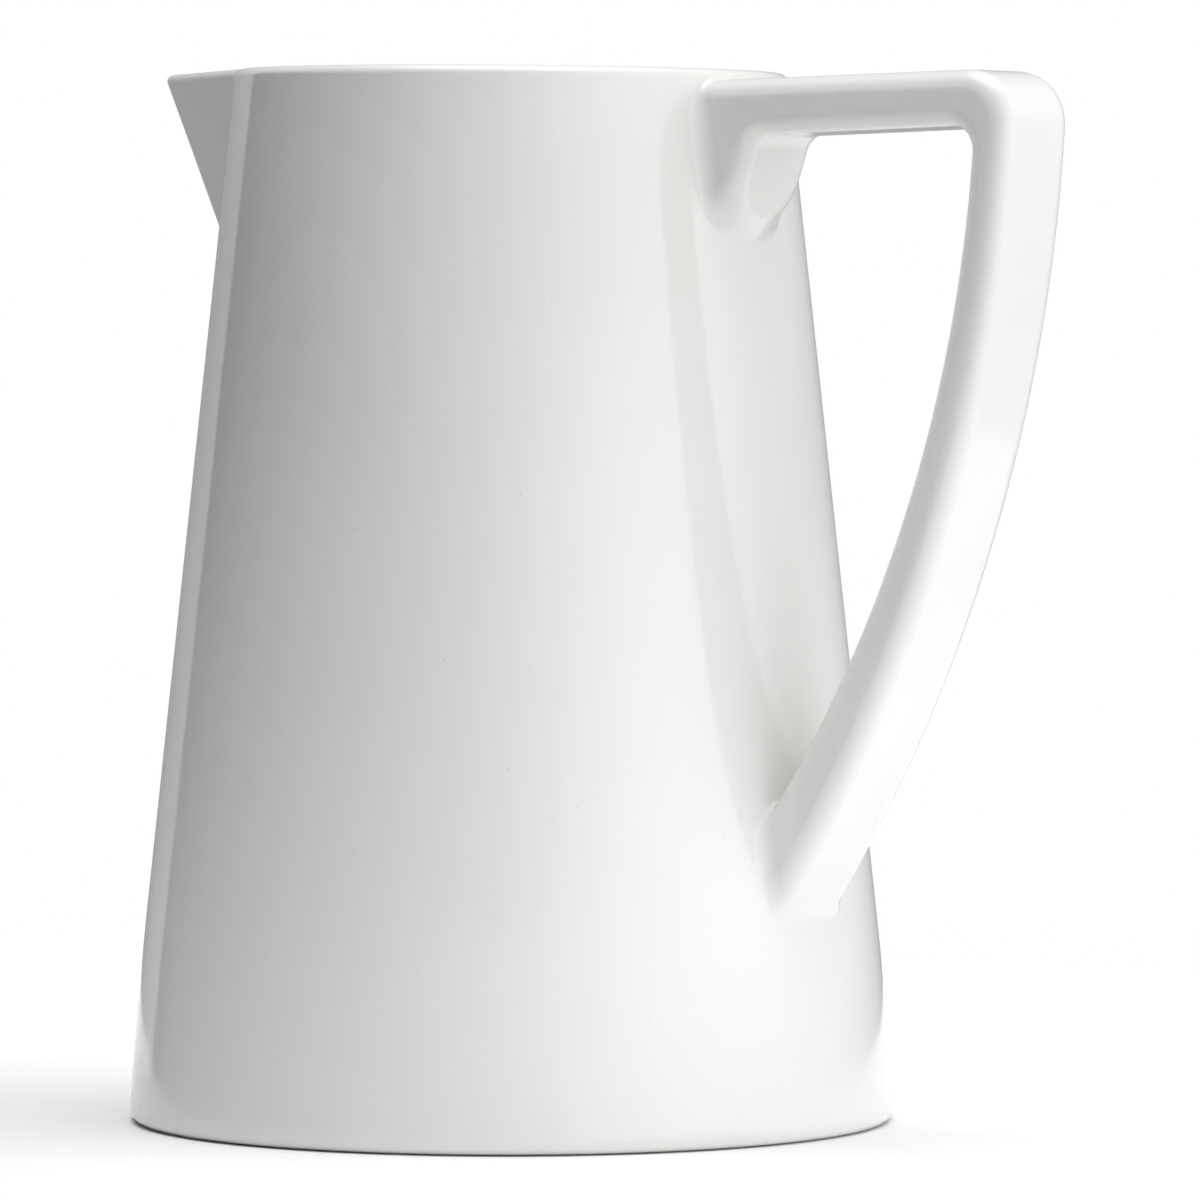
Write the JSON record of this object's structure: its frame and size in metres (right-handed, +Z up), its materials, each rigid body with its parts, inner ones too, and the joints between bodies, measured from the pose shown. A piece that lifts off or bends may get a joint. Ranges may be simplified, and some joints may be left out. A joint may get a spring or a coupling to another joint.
{
  "type": "ceramic pitcher",
  "caption": "White glazed pitcher with a tapered round wall, a pointed V-shaped spout, an angular strap handle and an unglazed foot ring.",
  "frame": {"origin": "centre of the foot ring's bottom face, on the table", "axes": "+Z up along the axis of the wall, +X towards the handle, -X towards the spout, +Y to the left of the handle"},
  "size_m": [0.1634, 0.1168, 0.1607],
  "materials": {
    "body_glaze": "glossy white glaze",
    "spout_glaze": "glossy white glaze",
    "handle_glaze": "glossy white glaze",
    "floor_glaze": "glossy white glaze inside, thin glaze under the floor",
    "slip": "joining slip under glossy white glaze",
    "bare_foot": "unglazed, ground smooth"
  },
  "bodies": {
    "root": {"body_wall": "body_glaze", "base_floor": "floor_glaze", "foot_ring": "bare_foot", "spout": "spout_glaze", "spout_slip_joint": "slip", "handle": "handle_glaze", "upper_slip_joint": "slip", "lower_slip_joint": "slip"}
  },
  "joints": []
}
